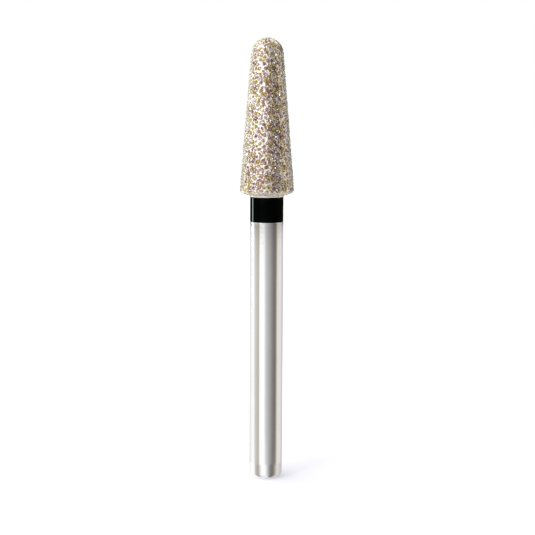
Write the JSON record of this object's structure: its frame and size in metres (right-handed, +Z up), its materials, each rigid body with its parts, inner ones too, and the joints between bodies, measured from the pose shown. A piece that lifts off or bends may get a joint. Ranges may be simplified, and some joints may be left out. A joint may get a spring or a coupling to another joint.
{
  "type": "dental bur",
  "caption": "Friction-grip dental bur: a round-ended tapered head plated with coarse diamond grit on a plain steel shank, with a black colour ring below the head.",
  "frame": {"origin": "centre of the shank's flat end", "axes": "+Z up the bur's axis, towards the tip of the head; the bur is round, so X and Y are free"},
  "size_m": [0.0026, 0.0026, 0.0212],
  "materials": {
    "ground_steel": "bright centreless-ground stainless steel",
    "black_enamel": "smooth black enamel",
    "nickel_and_diamond": "nickel bond crowded with coarse diamond grains"
  },
  "bodies": {
    "root": {"steel_blank": "ground_steel", "colour_ring": "black_enamel", "diamond_coating": "nickel_and_diamond"}
  },
  "joints": []
}
